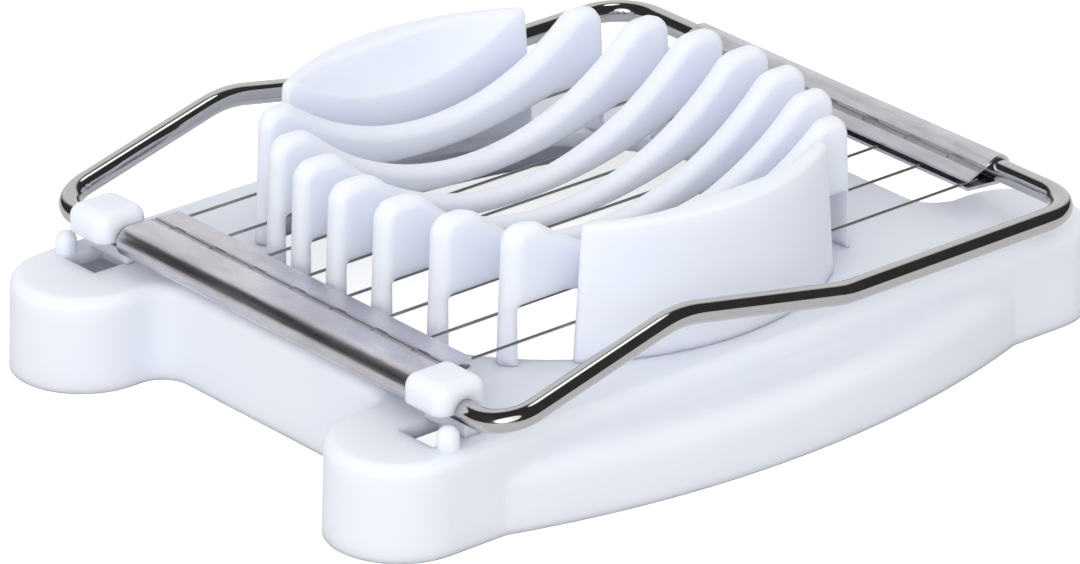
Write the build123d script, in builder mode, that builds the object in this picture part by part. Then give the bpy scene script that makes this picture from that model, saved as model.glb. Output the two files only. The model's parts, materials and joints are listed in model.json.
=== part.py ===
# Egg slicer: a moulded base with a slotted egg cradle, and a hinged steel frame strung with wires.
# X runs along the wires from the hinge to the free end, Y along the hinge, Z up, z = 0 on the table.
import os

from build123d import *

os.makedirs("parts", exist_ok=True)

# Wires, and the slots of the cradle that they drop into
wire_count = 8
wire_pitch = 8.0
wire_diameter = 0.4
wire_height = 17.3
wire_grip = 2.4

# Hinge line along Y, and the bent rod that turns on it
hinge_x = -45.5
hinge_height = 16.2
rod_diameter = 3.0
rod_clearance = 0.05
frame_half_width = 44.4
frame_length = 96.0
rear_height = 18.1
crest_x = -17.8
crest_height = 23.4
dip_x = 9.6
front_bend = 5.0
rear_bend = 6.5
arm_bend = 14.0

# Folded strips that hold the wire ends on the rod
sheet = 0.5
sheet_clearance = 0.03
wire_nip = 0.05
clamp_half_length = 28.9
front_flap = 8.0
rear_flap = 5.4
fold_width = 0.4
fold_depth = 0.12
dent_length = 2.8
dent_width = 1.1
dent_depth = 0.25

# Moulded tray: a drafted skirt open below, with four round lobes and a lower bulge along each long side
plate_top = 12.6
wall = 2.0
draft = 0.03
lobe_x = 51.0
lobe_y = 31.5
lobe_radius = 9.6
end_x = 45.3
inner_corner = 4.0
top_edge = 1.5
bulge = 47.9
bulge_end = 40.1
ledge_height = 9.0
ledge_edge = 3.0
ledge_crease = 1.5
crease_reach = 0.5

# Egg cradle: ribs and two end walls round an egg-shaped hollow, with the wire slots between them
cup_radius = 36.6
cup_half_length = 39.5
cup_top_radius = 35.8
rim_height = 30.6
rim_round = 2.6
rim_inner_round = 4.5
bowl_bottom = 17.7
bowl_half_width = 29.4
bowl_half_length = 32.0
rib_thickness = 3.2
rib_edge = 1.35
leg_depth = 1.7
arch_crown = 15.9
arch_end_crown = 18.2
arch_radius = 77.0
ceiling = 20.7
ceiling_corner = 0.8
end_wall_gap = 0.5
end_wall_corner = 0.8
end_wall_rim = 0.75
end_wall_edge = 0.8
window_radius = 35.4

# Hinge lugs: hooks over the rod, each above a core hole and beside a small stop
lug_length = 7.8
lug_width = 7.7
lug_top = 19.9
lug_gap = 0.6
lug_round = 1.8
core_front = 4.6
core_back = 1.6
core_width = 6.4
stop_radius = 1.4
stop_dome = 1.2
stop_reach = 3.2
stop_below_axis = 0.8

rod_radius = rod_diameter / 2
rear_x = hinge_x + frame_length
rib_count = wire_count - 1
lug_y = clamp_half_length + lug_gap + lug_width / 2
stop_y = lug_y + lug_width / 2 + stop_radius / 2
core_x = hinge_x + (core_back - core_front) / 2
wire_rows = [(row - (wire_count - 1) / 2) * wire_pitch for row in range(wire_count)]
rib_rows = [(row - (rib_count - 1) / 2) * wire_pitch for row in range(rib_count)]
end_wall_y = wire_rows[-1] + end_wall_gap
bulge_rise = bulge - bulge_end
bulge_radius = (end_x**2 + bulge_rise**2) / (2 * bulge_rise)
bowl_depth = rim_height - bowl_bottom
bowl_axis = bowl_bottom + (bowl_half_width**2 + bowl_depth**2) / (2 * bowl_depth)


# Plan outline of the tray without its bulges: a body crossed by two long round-ended bars
def tray_outline(height, inset):
    half_bar = lobe_radius - inset
    with BuildSketch(Plane.XY.offset(height)) as outline:
        Rectangle(2 * (end_x - inset), 2 * lobe_y)
        with Locations((0, lobe_y), (0, -lobe_y)):
            SlotOverall(2 * (lobe_x + half_bar), 2 * half_bar)
        corners = outline.vertices().filter_by(lambda v: abs(v.X) < lobe_x - half_bar / 2)
        fillet(corners.filter_by(lambda v: abs(v.Y) < lobe_y), inner_corner)
    return outline.sketch


# The two bulges: segments of a wide disc with a rounded top edge, inset for the hollow inside them
def side_bulges(inset, height, edge):
    with BuildPart() as bulges:
        with BuildSketch(Plane.YZ):
            with BuildLine():
                skirt = Line((inset - bulge, 0), (inset - bulge + draft * height, height))
                Polyline(skirt @ 1, (-lobe_y, height), (-lobe_y, 0), skirt @ 0)
            profile = make_face()
            fillet(profile.vertices().sort_by(Axis.X)[1], edge)
        revolve(axis=Axis((0, bulge_radius - bulge, 0), (0, 0, 1)))
        with BuildSketch(Plane.XY):
            with Locations((0, -lobe_y)):
                Rectangle(2 * (end_x - inset), bulge, align=(Align.CENTER, Align.MAX))
        extrude(amount=plate_top, mode=Mode.INTERSECT)
        mirror(about=Plane.XZ)
    return bulges.part


# The hollow under the tray follows its outside one wall thickness in
with BuildPart() as tray_hollow:
    add(tray_outline(0, wall))
    add(tray_outline(plate_top - wall, wall + draft * (plate_top - wall)))
    loft(ruled=True)
    add(side_bulges(wall, ledge_height - wall, ledge_edge - wall))

with BuildPart() as tray:
    add(tray_outline(0, 0))
    add(tray_outline(plate_top, draft * plate_top))
    loft(ruled=True)
    fillet(tray.faces().sort_by(Axis.Z)[-1].edges(), top_edge)
    add(side_bulges(0, ledge_height, ledge_edge))
    # The creases lie where the bulges meet the bars, above the foot and up to the ledge
    meets = tray.edges().filter_by(lambda e: abs(abs(e.center().Y) - lobe_y - lobe_radius) < crease_reach)
    creases = meets.filter_by(lambda e: crease_reach < e.center().Z < ledge_height + crease_reach)
    fillet(creases.filter_by(lambda e: abs(e.center().X) < end_x), ledge_crease)
    add(tray_hollow.part, mode=Mode.SUBTRACT)
    with BuildSketch(Plane.XY.offset(plate_top)):
        Circle(window_radius)
        with Locations((core_x, lug_y), (core_x, -lug_y)):
            Rectangle(core_front + core_back, core_width)
    extrude(amount=-2 * wall, mode=Mode.SUBTRACT)
    with BuildSketch(Plane.XY.offset(plate_top - wall / 2)):
        with Locations((hinge_x - stop_reach, stop_y), (hinge_x - stop_reach, -stop_y)):
            Circle(stop_radius)
    extrude(amount=hinge_height - stop_below_axis - plate_top + wall / 2)
    fillet(tray.edges().group_by(Axis.Z)[-1], stop_dome)
tray.part.label = "tray"
export_step(tray.part, "parts/tray.step")


# Depth of the bowl at one row, and the radius of its section there, about the high axis
def bowl_sink(row):
    return bowl_depth * (1 - (row / bowl_half_length) ** 2) ** 0.5


def bowl_radius(row):
    return bowl_axis - rim_height + bowl_sink(row)


# Half width of the cradle's foot at one row
def foot_half_width(row):
    return cup_radius * (1 - (row / cup_half_length) ** 2) ** 0.5


# Radius of the bowl at one side of a rib that has a lip of the given round. On both sides of a rib
# the bowl meets its rounded lip at the same slope, so that the sides join smoothly.
def side_radius(row, side, lip_round):
    return (bowl_radius(row) + lip_round) * bowl_sink(side) / bowl_sink(row) - lip_round


# Share of its rounds that a rib has room for on its narrower side, which is the one nearer to the middle
def round_share(row):
    side = abs(row) - rib_thickness / 2
    sink = bowl_sink(side)
    radius = side_radius(row, side, rim_inner_round)
    half_bowl = (2 * radius * sink - sink**2) ** 0.5
    lip = foot_half_width(side) - cup_radius + cup_top_radius - half_bowl
    return min(1, lip / (rim_round + rim_inner_round * sink / half_bowl))


# Section of one rib along X at one of its two sides: a blunt wedge with the bowl taken out of its top
def rib_section(row, side):
    half_foot = foot_half_width(side)
    half_top = half_foot - cup_radius + cup_top_radius
    outer_round = rim_round * round_share(row)
    lip_round = rim_inner_round * round_share(row)
    radius = side_radius(row, side, lip_round)
    with BuildSketch(Plane.XZ.offset(-side)) as section:
        with BuildLine():
            foot = Line((-half_foot, plate_top), (half_foot, plate_top))
            Polyline(foot @ 1, (half_top, rim_height), (-half_top, rim_height), foot @ 0)
        make_face()
        with Locations((0, rim_height - bowl_sink(side) + radius)):
            Circle(radius, mode=Mode.SUBTRACT)
        fillet(section.vertices().group_by(Axis.Y)[-1].sort_by(lambda v: -abs(v.X))[:2], outer_round)
        fillet(section.vertices().group_by(Axis.Y)[-1].sort_by(lambda v: abs(v.X))[:2], lip_round)
    return section.sketch


# Space under one rib: between its legs, up to a flat ceiling with the belly of the rib hanging below it
def leg_opening(row):
    half_inside = foot_half_width(row) - leg_depth
    crown = arch_crown + (arch_end_crown - arch_crown) * (row / rib_rows[-1]) ** 2
    with BuildSketch(Plane.XZ.offset(-row)) as opening:
        Rectangle(2 * half_inside, ceiling, align=(Align.CENTER, Align.MIN))
        fillet(opening.vertices().group_by(Axis.Y)[-1], ceiling_corner)
        with Locations((0, crown + arch_radius)):
            Circle(arch_radius, mode=Mode.SUBTRACT)
    return opening.sketch


for number, row in enumerate(rib_rows, start=1):
    with BuildPart() as rib:
        near_side = rib_section(row, row - rib_thickness / 2)
        far_side = rib_section(row, row + rib_thickness / 2)
        loft([near_side, far_side], ruled=True)
        sides = rib.faces().filter_by(Axis.Y).edges()
        fillet(sides.filter_by(lambda e: e.center().Z > plate_top + rib_edge), rib_edge * round_share(row))
        extrude(leg_opening(row), amount=rib_thickness, both=True, mode=Mode.SUBTRACT)
    rib.part.label = f"rib_{number}"
    export_step(rib.part, f"parts/rib_{number}.step")

# The egg-shaped hollow: an ellipse along Y swung about a high axis, so that it is round along X too
with BuildPart() as egg:
    with BuildSketch(Plane.YZ):
        with Locations((0, rim_height)):
            Ellipse(bowl_half_length, bowl_depth)
    revolve(axis=Axis((0, 0, bowl_axis), (0, 1, 0)))

# The space under the last rib goes on into the end wall, which is round outside and inside
with BuildPart() as chamber:
    with BuildSketch():
        Circle(cup_radius - wall)
    extrude(amount=rim_height)
    extrude(leg_opening(rib_rows[0]), amount=cup_radius, both=True, mode=Mode.INTERSECT)

# An end wall is what the last slot leaves of the round cup. Each round is made before the next cut,
# and the edge of the bowl has as much of its round as the lip beside the slot has room for.
half_bowl = (bowl_radius(end_wall_y) ** 2 - (bowl_axis - rim_height) ** 2) ** 0.5
end_wall_lip = (cup_top_radius**2 - end_wall_y**2) ** 0.5 - half_bowl
end_wall_share = min(1, end_wall_lip / (end_wall_corner + end_wall_edge))
with BuildPart() as end_wall_near:
    with BuildSketch(Plane.YZ):
        with BuildLine():
            foot = Line((0, plate_top), (-cup_radius, plate_top))
            Polyline(foot @ 1, (-cup_top_radius, rim_height), (0, rim_height), foot @ 0)
        make_face()
    revolve(axis=Axis.Z)
    with BuildSketch(Plane.XZ.offset(end_wall_y)):
        with Locations((0, rim_height / 2)):
            Rectangle(2 * cup_radius, 2 * rim_height)
    extrude(amount=cup_radius, mode=Mode.INTERSECT)
    fillet(end_wall_near.edges().filter_by(GeomType.HYPERBOLA), end_wall_corner)
    fillet(end_wall_near.faces().sort_by(Axis.Z)[-1].edges(), end_wall_rim)
    add(egg.part, mode=Mode.SUBTRACT)
    fillet(end_wall_near.faces().filter_by(GeomType.REVOLUTION).edges(), end_wall_edge * end_wall_share)
    add(chamber.part, mode=Mode.SUBTRACT)
end_wall_near.part.label = "end_wall_near"
export_step(end_wall_near.part, "parts/end_wall_near.step")

with BuildPart() as end_wall_far:
    mirror(end_wall_near.part, about=Plane.XZ)
end_wall_far.part.label = "end_wall_far"
export_step(end_wall_far.part, "parts/end_wall_far.step")

for name, side in (("hinge_lug_near", -1), ("hinge_lug_far", 1)):
    with BuildPart() as lug:
        with BuildSketch(Plane.XZ.offset(-side * lug_y)):
            with Locations((hinge_x - lug_length / 2, plate_top)):
                Rectangle(lug_length, lug_top - plate_top, align=(Align.MIN, Align.MIN))
        extrude(amount=lug_width / 2, both=True)
        fillet(lug.edges().filter_by(Axis.Z) + lug.faces().sort_by(Axis.Z)[-1].edges(), lug_round)
        with BuildSketch(Plane.XZ.offset(-side * lug_y)):
            with Locations((hinge_x, hinge_height)):
                Circle(rod_radius + rod_clearance)
                Rectangle(lug_length, lug_top, align=(Align.MAX, Align.MAX))
        extrude(amount=lug_width, both=True, mode=Mode.SUBTRACT)
    lug.part.label = name
    export_step(lug.part, f"parts/{name}.step")

# Half of the rod, from the middle of the hinge bar round one arm to the middle of the rear bar
with BuildPart() as rod:
    with BuildLine():
        route = FilletPolyline(
            (hinge_x, 0, hinge_height),
            (hinge_x, -frame_half_width, hinge_height),
            (crest_x, -frame_half_width, crest_height),
            (dip_x, -frame_half_width, rear_height),
            (rear_x, -frame_half_width, rear_height),
            (rear_x, 0, rear_height),
            radius=[front_bend, arm_bend, arm_bend, rear_bend],
        )
    with BuildSketch(Plane(route @ 0, z_dir=route % 0)):
        Circle(rod_radius)
    sweep()
    mirror(about=Plane.XZ)
rod.part.label = "frame_rod"
export_step(rod.part, "parts/frame_rod.step")


# Outline of a folded strip, inside or outside: a loop round the rod that narrows to a nip on the wires
def strip_outline(axis_x, axis_height, tip_x, skin, overrun):
    with BuildSketch(Plane.XZ) as outline:
        with Locations((axis_x, axis_height)):
            Circle(rod_radius + sheet_clearance + skin)
        with Locations((tip_x - overrun / 2, wire_height)):
            Rectangle(abs(overrun), wire_diameter + 2 * wire_nip + 2 * skin)
        make_hull()
    return outline.sketch


for name, axis_x, axis_height, tip_x, reach in (
    ("front_clamp", hinge_x, hinge_height, hinge_x + front_flap, sheet),
    ("rear_clamp", rear_x, rear_height, rear_x - rear_flap, -sheet),
):
    with BuildPart() as clamp:
        with BuildSketch(Plane.XZ):
            add(strip_outline(axis_x, axis_height, tip_x, sheet, reach))
            add(strip_outline(axis_x, axis_height, tip_x + reach, 0, reach), mode=Mode.SUBTRACT)
        extrude(amount=clamp_half_length, both=True)
        leaves = clamp.faces().filter_by(GeomType.PLANE).filter_by(lambda f: f.normal_at().Z > 0.5)
        leaf = leaves.sort_by(Axis.Z)[-1]
        with BuildSketch(Plane(leaf.center(), x_dir=(0, 1, 0), z_dir=leaf.normal_at())):
            Rectangle(2 * clamp_half_length, fold_width)
        extrude(amount=-fold_depth, mode=Mode.SUBTRACT)
        with BuildSketch(Plane(leaf.center(), x_dir=(0, 1, 0), z_dir=leaf.normal_at())):
            with GridLocations(wire_pitch, 0, wire_count - 1, 1):
                SlotOverall(dent_length, dent_width)
        extrude(amount=-dent_depth, mode=Mode.SUBTRACT)
    clamp.part.label = name
    export_step(clamp.part, f"parts/{name}.step")

wire_start = hinge_x + front_flap - wire_grip
wire_end = rear_x - rear_flap + wire_grip
for number, row in enumerate(wire_rows, start=1):
    with BuildPart() as wire:
        with BuildSketch(Plane.YZ.offset(wire_start)):
            with Locations((row, wire_height)):
                Circle(wire_diameter / 2)
        extrude(amount=wire_end - wire_start)
    wire.part.label = f"wire_{number}"
    export_step(wire.part, f"parts/wire_{number}.step")
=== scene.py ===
# Egg slicer: satin white moulding, bright rod frame, folded strip clamps and taut wires.
import json
import math

import bpy
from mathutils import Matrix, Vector

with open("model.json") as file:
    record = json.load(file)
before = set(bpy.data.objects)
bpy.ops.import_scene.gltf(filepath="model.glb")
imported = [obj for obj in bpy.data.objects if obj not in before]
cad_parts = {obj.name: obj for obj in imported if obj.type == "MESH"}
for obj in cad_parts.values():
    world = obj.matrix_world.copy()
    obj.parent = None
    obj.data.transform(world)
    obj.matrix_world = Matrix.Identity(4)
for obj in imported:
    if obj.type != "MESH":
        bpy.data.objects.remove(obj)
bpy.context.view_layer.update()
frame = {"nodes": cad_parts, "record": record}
print("frame loaded:", len(frame["nodes"]), "nodes")


def hexToLinear(hexColour):
    channels = [int(hexColour[i:i + 2], 16) / 255 for i in (1, 3, 5)]
    return [c / 12.92 if c < 0.04045 else ((c + 0.055) / 1.055) ** 2.4 for c in channels] + [1.0]


# One node with its settings and links; a key is a socket's name or number, or a property of the node.
# Numbers are needed where names repeat: a Mix node has its values at 2 and 3, its colours at 6 and 7
def addNode(tree, kind, settings=None, links=None):
    node = tree.nodes.new(kind)
    for key, value in (settings or {}).items():
        if isinstance(key, int) or key in node.inputs:
            node.inputs[key].default_value = value
        else:
            setattr(node, key, value)
    for key, source in (links or {}).items():
        tree.links.new(source, node.inputs[key])
    return node


def newMaterial(name):
    material = bpy.data.materials.new(name)
    material.use_nodes = True
    material.node_tree.nodes.clear()
    return material, material.node_tree


def perMetre(millimetres):
    return 1000 / millimetres


# Injection-moulded polypropylene: bluish white, a little see-through at thin edges, soft satin gloss
moulding = {
    "light": "#ecf0ff",
    "shade": "#e7ebfe",
    "cloudMm": 16,           # slow drift of tone where the melt flowed
    "grainMm": 0.5,          # spark-eroded mould skin, coarser than the real 0.05 mm so that it shows
    "grainDepth": 0.00002,
    "grainStrength": 0.3,
    "cloudSpan": (0.3, 0.7), # part of the noise that the roughness follows
    "roughness": (0.36, 0.5),
    "ior": 1.49,
    "shine": 0.3,
    "glowDepth": 0.003,      # how far light wanders in the thin walls
    "glow": 0.8,
}


def mouldedPolypropylene():
    material, tree = newMaterial("moulded_polypropylene")
    place = addNode(tree, "ShaderNodeTexCoord").outputs["Object"]
    cloud = addNode(tree, "ShaderNodeTexNoise",
                    {"Scale": perMetre(moulding["cloudMm"]), "Detail": 3.0}, {"Vector": place})
    tone = addNode(tree, "ShaderNodeMix",
                   {"data_type": "RGBA",
                    6: hexToLinear(moulding["shade"]), 7: hexToLinear(moulding["light"])},
                   {0: cloud.outputs["Fac"]})
    grain = addNode(tree, "ShaderNodeTexNoise",
                    {"Scale": perMetre(moulding["grainMm"]), "Detail": 2.0}, {"Vector": place})
    satin = addNode(tree, "ShaderNodeMapRange",
                    {"From Min": moulding["cloudSpan"][0], "From Max": moulding["cloudSpan"][1],
                     "To Min": moulding["roughness"][0], "To Max": moulding["roughness"][1]},
                    {"Value": cloud.outputs["Fac"]})
    skin = addNode(tree, "ShaderNodeBump",
                   {"Strength": moulding["grainStrength"], "Distance": moulding["grainDepth"]},
                   {"Height": grain.outputs["Fac"]})
    shader = addNode(tree, "ShaderNodeBsdfPrincipled",
                     {"IOR": moulding["ior"], "Specular IOR Level": moulding["shine"],
                      "Subsurface Weight": moulding["glow"], "Subsurface Scale": moulding["glowDepth"],
                      "Subsurface Radius": (1.0, 1.0, 1.0)},
                     {"Base Color": tone.outputs[2], "Roughness": satin.outputs["Result"],
                      "Normal": skin.outputs["Normal"]})
    addNode(tree, "ShaderNodeOutputMaterial", None, {"Surface": shader.outputs["BSDF"]})
    return material


# Polished stainless rod: mirror bright, with a faint uneven polish
rod = {
    "colour": "#c6c5c4",
    "polishMm": 2.5,
    "polishSpan": (0.35, 0.7),
    "roughness": (0.07, 0.16),
}


def polishedStainlessRod():
    material, tree = newMaterial("polished_stainless_rod")
    place = addNode(tree, "ShaderNodeTexCoord").outputs["Object"]
    polish = addNode(tree, "ShaderNodeTexNoise",
                     {"Scale": perMetre(rod["polishMm"]), "Detail": 4.0}, {"Vector": place})
    gloss = addNode(tree, "ShaderNodeMapRange",
                    {"From Min": rod["polishSpan"][0], "From Max": rod["polishSpan"][1],
                     "To Min": rod["roughness"][0], "To Max": rod["roughness"][1]},
                    {"Value": polish.outputs["Fac"]})
    shader = addNode(tree, "ShaderNodeBsdfPrincipled",
                     {"Base Color": hexToLinear(rod["colour"]), "Metallic": 1.0},
                     {"Roughness": gloss.outputs["Result"]})
    addNode(tree, "ShaderNodeOutputMaterial", None, {"Surface": shader.outputs["BSDF"]})
    return material


# Cold-rolled stainless strip: pale grey with a lilac bloom, streaked along its length by the rolls,
# scuffed and wavy where it was folded
strip = {
    "colour": "#dad9df",
    "bloom": "#cbc7ce",
    "bloomMm": (5.0, 11.0, 5.0),
    "bloomSpan": (0.42, 0.62),
    "streakMm": (3.0, 14.0, 0.35),
    "streakSpan": (0.35, 0.7),
    "waveMm": 5.0,
    "waveDepth": 0.00012,
    "waveStrength": 0.6,
    "roughness": (0.24, 0.42),
    "foldMm": (-41.48, 47.43),      # where the front and the rear strip are pinched, along X
    "foldReachMm": 0.62,
    "foldDull": 0.35,               # the pinched metal is stretched and goes dull
}


def rolledStainlessStrip():
    material, tree = newMaterial("rolled_stainless_strip")
    place = addNode(tree, "ShaderNodeTexCoord").outputs["Object"]
    along = addNode(tree, "ShaderNodeMapping",
                    {"Scale": [perMetre(size) for size in strip["streakMm"]]}, {"Vector": place})
    streak = addNode(tree, "ShaderNodeTexNoise",
                     {"Scale": 1.0, "Detail": 5.0}, {"Vector": along.outputs["Vector"]})
    wave = addNode(tree, "ShaderNodeTexNoise",
                   {"Scale": perMetre(strip["waveMm"]), "Detail": 1.0}, {"Vector": place})
    blotch = addNode(tree, "ShaderNodeMapping",
                     {"Scale": [perMetre(size) for size in strip["bloomMm"]]}, {"Vector": place})
    bloom = addNode(tree, "ShaderNodeTexNoise", {"Scale": 1.0, "Detail": 6.0, "Roughness": 0.65},
                    {"Vector": blotch.outputs["Vector"]})
    stain = addNode(tree, "ShaderNodeMapRange",
                    {"From Min": strip["bloomSpan"][0], "From Max": strip["bloomSpan"][1]},
                    {"Value": bloom.outputs["Fac"]})
    tone = addNode(tree, "ShaderNodeMix",
                   {"data_type": "RGBA",
                    6: hexToLinear(strip["colour"]), 7: hexToLinear(strip["bloom"])},
                   {0: stain.outputs["Result"]})
    gloss = addNode(tree, "ShaderNodeMapRange",
                    {"From Min": strip["streakSpan"][0], "From Max": strip["streakSpan"][1],
                     "To Min": strip["roughness"][0], "To Max": strip["roughness"][1]},
                    {"Value": streak.outputs["Fac"]})
    across = addNode(tree, "ShaderNodeSeparateXYZ", None, {"Vector": place}).outputs["X"]
    dull = gloss.outputs["Result"]
    for fold in strip["foldMm"]:
        pinched = addNode(tree, "ShaderNodeMath",
                          {"operation": "COMPARE", 1: fold / 1000, 2: strip["foldReachMm"] / 1000},
                          {0: across})
        dull = addNode(tree, "ShaderNodeMath", {"operation": "MULTIPLY_ADD", 1: strip["foldDull"]},
                       {0: pinched.outputs[0], 2: dull}).outputs[0]
    buckle = addNode(tree, "ShaderNodeBump",
                     {"Strength": strip["waveStrength"], "Distance": strip["waveDepth"]},
                     {"Height": wave.outputs["Fac"]})
    shader = addNode(tree, "ShaderNodeBsdfPrincipled", {"Metallic": 1.0},
                     {"Base Color": tone.outputs[2], "Roughness": dull,
                      "Normal": buckle.outputs["Normal"]})
    addNode(tree, "ShaderNodeOutputMaterial", None, {"Surface": shader.outputs["BSDF"]})
    return material


# Drawn stainless wire: grey and bright, with the fine drag lines of the die
wire = {
    "colour": "#a9a8a7",
    "dragMm": (6.0, 0.1, 0.1),
    "dragSpan": (0.35, 0.65),
    "roughness": (0.22, 0.4),
}


def drawnStainlessWire():
    material, tree = newMaterial("drawn_stainless_wire")
    place = addNode(tree, "ShaderNodeTexCoord").outputs["Object"]
    along = addNode(tree, "ShaderNodeMapping",
                    {"Scale": [perMetre(size) for size in wire["dragMm"]]}, {"Vector": place})
    drag = addNode(tree, "ShaderNodeTexNoise",
                   {"Scale": 1.0, "Detail": 3.0}, {"Vector": along.outputs["Vector"]})
    gloss = addNode(tree, "ShaderNodeMapRange",
                    {"From Min": wire["dragSpan"][0], "From Max": wire["dragSpan"][1],
                     "To Min": wire["roughness"][0], "To Max": wire["roughness"][1]},
                    {"Value": drag.outputs["Fac"]})
    shader = addNode(tree, "ShaderNodeBsdfPrincipled",
                     {"Base Color": hexToLinear(wire["colour"]), "Metallic": 1.0},
                     {"Roughness": gloss.outputs["Result"]})
    addNode(tree, "ShaderNodeOutputMaterial", None, {"Surface": shader.outputs["BSDF"]})
    return material


finishes = {
    "moulding": mouldedPolypropylene(),
    "rod": polishedStainlessRod(),
    "strip": rolledStainlessStrip(),
    "wire": drawnStainlessWire(),
}
for subpart in frame["record"]["subparts"]:
    mesh = frame["nodes"][subpart["node"]].data
    mesh.materials.clear()
    mesh.materials.append(finishes[subpart["material_slot"]])
print("finishes on the frame:", ", ".join(finishes))

studio = {
    "floorSize": 8.0,
    "floorColour": "#d6d6d6",
    "floorGlow": 0.75,          # what the camera sees of the white sheet beside its lit colour
    "floorMirror": 0.1,         # and what the metal sees
    "roomLight": 1.02,          # pale room on all sides
    "roomDark": 0.05,           # black cloths round it, which the rod mirrors as its dark band
    "wallLight": 1.1,           # white board beyond the far corner, which the strips mirror
    "wallAt": (0.55, 0.7, 0.45),
    "wallEdge": (0.72, 0.86),
    "frontPower": 5.0,
    "frontSize": 1.2,
    "frontAt": (-1.0, -0.85, 0.65),
    "keyPower": 4.2,
    "keySize": 0.9,
    "keyAt": (-1.25, -0.75, 0.55),
    "topPower": 1.0,
    "topSize": 0.45,
    "topAt": (0.3, 0.0, 1.4),
}


def whiteSheet():
    material, tree = newMaterial("white_sheet")
    path = addNode(tree, "ShaderNodeLightPath")
    seen = addNode(tree, "ShaderNodeMath", {"operation": "MAXIMUM"},
                   {0: path.outputs["Is Camera Ray"], 1: path.outputs["Is Transmission Ray"]})
    seen = addNode(tree, "ShaderNodeMath", {"operation": "MULTIPLY", 1: studio["floorGlow"]},
                   {0: seen.outputs[0]})
    glow = addNode(tree, "ShaderNodeMath", {"operation": "MULTIPLY_ADD", 1: studio["floorMirror"]},
                   {0: path.outputs["Is Glossy Ray"], 2: seen.outputs[0]})
    lit = addNode(tree, "ShaderNodeBsdfDiffuse", {"Color": hexToLinear(studio["floorColour"])})
    shine = addNode(tree, "ShaderNodeEmission", None, {"Strength": glow.outputs[0]})
    both = addNode(tree, "ShaderNodeAddShader", None, {0: lit.outputs[0], 1: shine.outputs[0]})
    addNode(tree, "ShaderNodeOutputMaterial", None, {"Surface": both.outputs[0]})
    return material


bpy.ops.mesh.primitive_plane_add(size=studio["floorSize"], location=(0, 0, 0))
floor = bpy.context.object
floor.name = "floor"
floor.data.materials.append(whiteSheet())

# Room: pale light from all sides; the metal mirrors black cloths and one white board in it
world = bpy.data.worlds.new("studio_room")
world.use_nodes = True
room = world.node_tree
room.nodes.clear()
ray = addNode(room, "ShaderNodeTexCoord").outputs["Generated"]
towards = addNode(room, "ShaderNodeVectorMath",
                  {"operation": "DOT_PRODUCT", 1: Vector(studio["wallAt"]).normalized()}, {0: ray})
board = addNode(room, "ShaderNodeMapRange",
                {"interpolation_type": "SMOOTHSTEP",
                 "From Min": studio["wallEdge"][0], "From Max": studio["wallEdge"][1],
                 "To Min": studio["roomDark"], "To Max": studio["wallLight"]},
                {"Value": towards.outputs["Value"]})
path = addNode(room, "ShaderNodeLightPath")
mirrored = addNode(room, "ShaderNodeMix", {"data_type": "FLOAT", 2: studio["roomLight"]},
                   {0: path.outputs["Is Glossy Ray"], 3: board.outputs["Result"]})
level = addNode(room, "ShaderNodeMath", {"operation": "MAXIMUM"},
                {0: mirrored.outputs[0], 1: path.outputs["Is Camera Ray"]})
air = addNode(room, "ShaderNodeBackground", None, {"Strength": level.outputs[0]})
addNode(room, "ShaderNodeOutputWorld", None, {"Surface": air.outputs[0]})
bpy.context.scene.world = world


def softbox(name, power, size, at):
    lamp = bpy.data.lights.new(name, "AREA")
    lamp.energy = power
    lamp.shape = "DISK"
    lamp.size = size
    holder = bpy.data.objects.new(name, lamp)
    bpy.context.scene.collection.objects.link(holder)
    holder.location = at
    holder.rotation_euler = Vector(at).to_track_quat("Z", "Y").to_euler()


for name in ("front", "key", "top"):
    softbox(name, studio[name + "Power"], studio[name + "Size"], studio[name + "At"])
print("studio set: floor, room and three softboxes")

view = {
    "azimuth": -40.34,
    "elevation": 24.38,
    "distance": 0.981,
    "target": (-0.0192, -0.0202, 0.0197),
    "lens": 264.5,
    "sensor": 36,
    "reach": 50,
}
turn, rise = math.radians(view["azimuth"]), math.radians(view["elevation"])
back = Vector((math.sin(turn) * math.cos(rise), -math.cos(turn) * math.cos(rise), math.sin(rise)))
lens = bpy.data.cameras.new("camera")
lens.lens = view["lens"]
lens.sensor_width = view["sensor"]
lens.clip_end = view["reach"]
camera = bpy.data.objects.new("camera", lens)
bpy.context.scene.collection.objects.link(camera)
camera.location = Vector(view["target"]) + back * view["distance"]
camera.rotation_euler = back.to_track_quat("Z", "Y").to_euler()
bpy.context.scene.camera = camera
bpy.context.scene.view_settings.view_transform = "Standard"
print("camera set")
